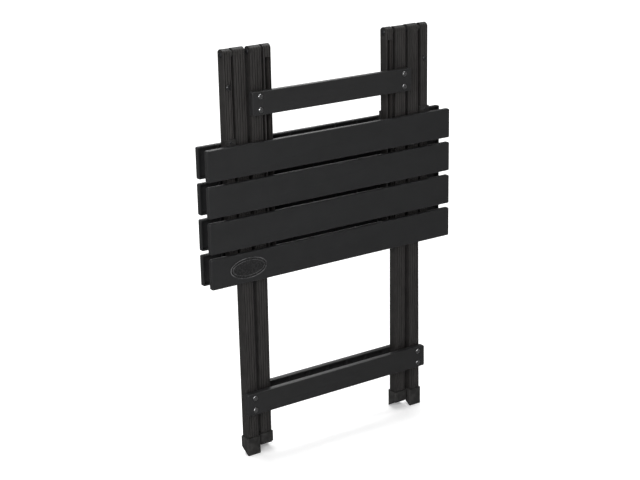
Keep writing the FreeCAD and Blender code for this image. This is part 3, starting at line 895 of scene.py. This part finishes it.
class TABLE_OT_screws(bpy.types.Operator):
    """Models the studs on the rails and the screws that hold the slats"""

    bl_idname = "slatted_table.screws"
    bl_label = "Studs and screws"

    def execute(self, context):
        for half, face in HALVES.items():
            outward, inward = (0, face, 0), (0, -face, 0)
            rail_face = face_y(half + "_rail_right", face)
            tab_face = face_y(half + "_slat_1", -face)
            stud_z = node_middle(half + "_rest_studs").z
            tab_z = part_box(half + "_slat_clips")[1].z - TAB_MIDDLE
            studs, screws = [], []
            for side in (LEFT, RIGHT):
                x = side * RAIL_X[half]
                studs.append(domed_head((x, rail_face, stud_z), outward, *STUD_HEAD))
                for i in range(1, SLATS_PER_HALF + 1):
                    seat = (x, rail_face - face * BAR_WALL, node_middle(half + "_slat_" + str(i)).z)
                    screws.append(domed_head(seat, inward, *SCREW_HEAD))
                screws.append(domed_head((x, tab_face, tab_z), outward, *TAB_SCREW_HEAD))
            finish_piece(joined(studs, half + "_stud_heads"), "screw_metal", half + "_top",
                         half + "_rest_studs")
            finish_piece(joined(screws, half + "_screw_heads"), "screw_metal", half + "_top",
                         half + "_slat_screws")
        return {"FINISHED"}


# ---- Stage

CAMERA_PLACE = Vector((-1.34466, -1.89337, 1.05521))
CAMERA_AZIMUTH = math.radians(34.963)
CAMERA_PITCH = math.radians(-17.282)
CAMERA_ROLL = math.radians(-1.086)
CAMERA_LENS = 83.36
CAMERA_SENSOR = 36
CAMERA_REACH = 100
FLOOR_SIZE = 60.0
FLOOR_GLOW = 0.28
# Strength of the soft light from all round, and of the plain wall that closes the view
AMBIENT = 0.10
PLAIN_WALL = 1.0
OVERHEAD_STRENGTH = 3.3
OVERHEAD_SPREAD = math.radians(50)
OVERHEAD_TURN = (math.radians(-12), math.radians(6), 0)
# Place, aim, width, height and power of each soft light
SOFT_LIGHTS = {
    "front_key": ((-2.0, -1.45, 1.35), (-0.15, 0, 0.35), 1.1, 1.2, 31),
    "rear_panel": ((1.74, 3.41, 1.67), (0, 0, 0.5), 1.5, 1.1, 12),
    "small_key": ((-1.75, -2.35, 2.35), (0, 0, 0.4), 0.34, 0.34, 24),
}


class TABLE_OT_stage(bpy.types.Operator):
    """Sets the camera, floor and soft studio lights"""

    bl_idname = "slatted_table.stage"
    bl_label = "Stage"

    def execute(self, context):
        set_camera()
        set_floor()
        set_world()
        set_lights()
        context.scene.view_settings.view_transform = "Standard"
        context.scene.view_settings.look = "None"
        return {"FINISHED"}


def set_camera():
    """A long lens at front left, looking slightly down."""
    data = bpy.data.cameras.new("camera")
    data.lens = CAMERA_LENS
    data.sensor_width = CAMERA_SENSOR
    data.clip_end = CAMERA_REACH
    camera = bpy.data.objects.new("camera", data)
    forward = Vector((math.sin(CAMERA_AZIMUTH) * math.cos(CAMERA_PITCH),
                      math.cos(CAMERA_AZIMUTH) * math.cos(CAMERA_PITCH), math.sin(CAMERA_PITCH)))
    flat_right = Vector((math.cos(CAMERA_AZIMUTH), -math.sin(CAMERA_AZIMUTH), 0))
    flat_up = flat_right.cross(forward)
    right = flat_right * math.cos(CAMERA_ROLL) + flat_up * math.sin(CAMERA_ROLL)
    up = right.cross(forward)
    turn = Matrix((right, up, -forward)).transposed().to_4x4()
    camera.matrix_world = Matrix.Translation(CAMERA_PLACE) @ turn
    bpy.context.scene.collection.objects.link(camera)
    bpy.context.scene.camera = camera


def set_floor():
    """A wide pale floor that glows enough to stay white, and isn't mirrored in the table."""
    deselect()
    bpy.ops.mesh.primitive_plane_add(size=FLOOR_SIZE, location=(0, 0, 0))
    floor = bpy.context.object
    floor.name = "floor"
    paper = Surface("floor_paper", 0, 0.62, 0.3)
    cloud = paper.spread(paper.noise(paper.place(), scale=3, detail=4), 0, 1)
    colour = settings().finish.floor
    paper.give({
        "Base Color": paper.blended(cloud, shade(colour, 0.985), shade(colour, 1.01)),
        "Emission Color": (1, 1, 1, 1),
        "Emission Strength": FLOOR_GLOW,
    })
    floor.data.materials.append(paper.material)
    floor.visible_glossy = False


def set_world():
    """Soft light from all round, with a plain white wall behind it."""
    world = bpy.data.worlds.new("studio")
    bpy.context.scene.world = world
    world.use_nodes = True
    sky = NodeMaker(world.node_tree)
    seen = sky.add("ShaderNodeLightPath", {}).outputs["Is Camera Ray"]
    background = world.node_tree.nodes["Background"]
    sky.feed(background.inputs["Color"], (1, 1, 1, 1))
    sky.feed(background.inputs["Strength"], sky.spread(seen, AMBIENT, PLAIN_WALL, 0, 1))


def add_light(name, kind, power):
    """A light of one kind at the origin."""
    data = bpy.data.lights.new(name, kind)
    data.energy = power
    light = bpy.data.objects.new(name, data)
    bpy.context.scene.collection.objects.link(light)
    return light


def set_lights():
    """A wide overhead light, and soft lights in front and behind."""
    overhead = add_light("overhead", "SUN", OVERHEAD_STRENGTH)
    overhead.data.angle = OVERHEAD_SPREAD
    overhead.rotation_euler = OVERHEAD_TURN
    for name, (place, aim, width, height, power) in SOFT_LIGHTS.items():
        light = add_light(name, "AREA", power)
        light.data.shape = "RECTANGLE"
        light.data.size, light.data.size_y = width, height
        light.location = place
        light.rotation_euler = (Vector(aim) - Vector(place)).to_track_quat("-Z", "Y").to_euler()


# ---- Panel and registration

class TABLE_PT_panel(bpy.types.Panel):
    """Lists the pieces in the order they are made"""

    bl_idname = "TABLE_PT_panel"
    bl_label = "Slatted Table"
    bl_space_type = "VIEW_3D"
    bl_region_type = "UI"
    bl_category = "Table"

    def draw(self, context):
        """Puts one button for each step in the sidebar."""
        for operator in OPERATORS:
            self.layout.operator(operator.bl_idname)


OPERATORS = (TABLE_OT_finishes, TABLE_OT_slats, TABLE_OT_crossbars, TABLE_OT_feet, TABLE_OT_badge,
             TABLE_OT_rivets, TABLE_OT_screws, TABLE_OT_stage)
GROUPS = (MouldedSizes, FootSizes, BadgeSizes, Finishes, TableSettings)


def register():
    """Makes the settings, operators and panel known to the program."""
    for cls in GROUPS + OPERATORS + (TABLE_PT_panel,):
        bpy.utils.register_class(cls)
    bpy.types.Scene.slatted_table = PointerProperty(type=TableSettings)


def unregister():
    """Takes them away again."""
    del bpy.types.Scene.slatted_table
    for cls in reversed(GROUPS + OPERATORS + (TABLE_PT_panel,)):
        bpy.utils.unregister_class(cls)


def main():
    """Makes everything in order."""
    register()
    for operator in OPERATORS:
        group, name = operator.bl_idname.split(".")
        getattr(getattr(bpy.ops, group), name)()


if __name__ == "__main__":
    main()
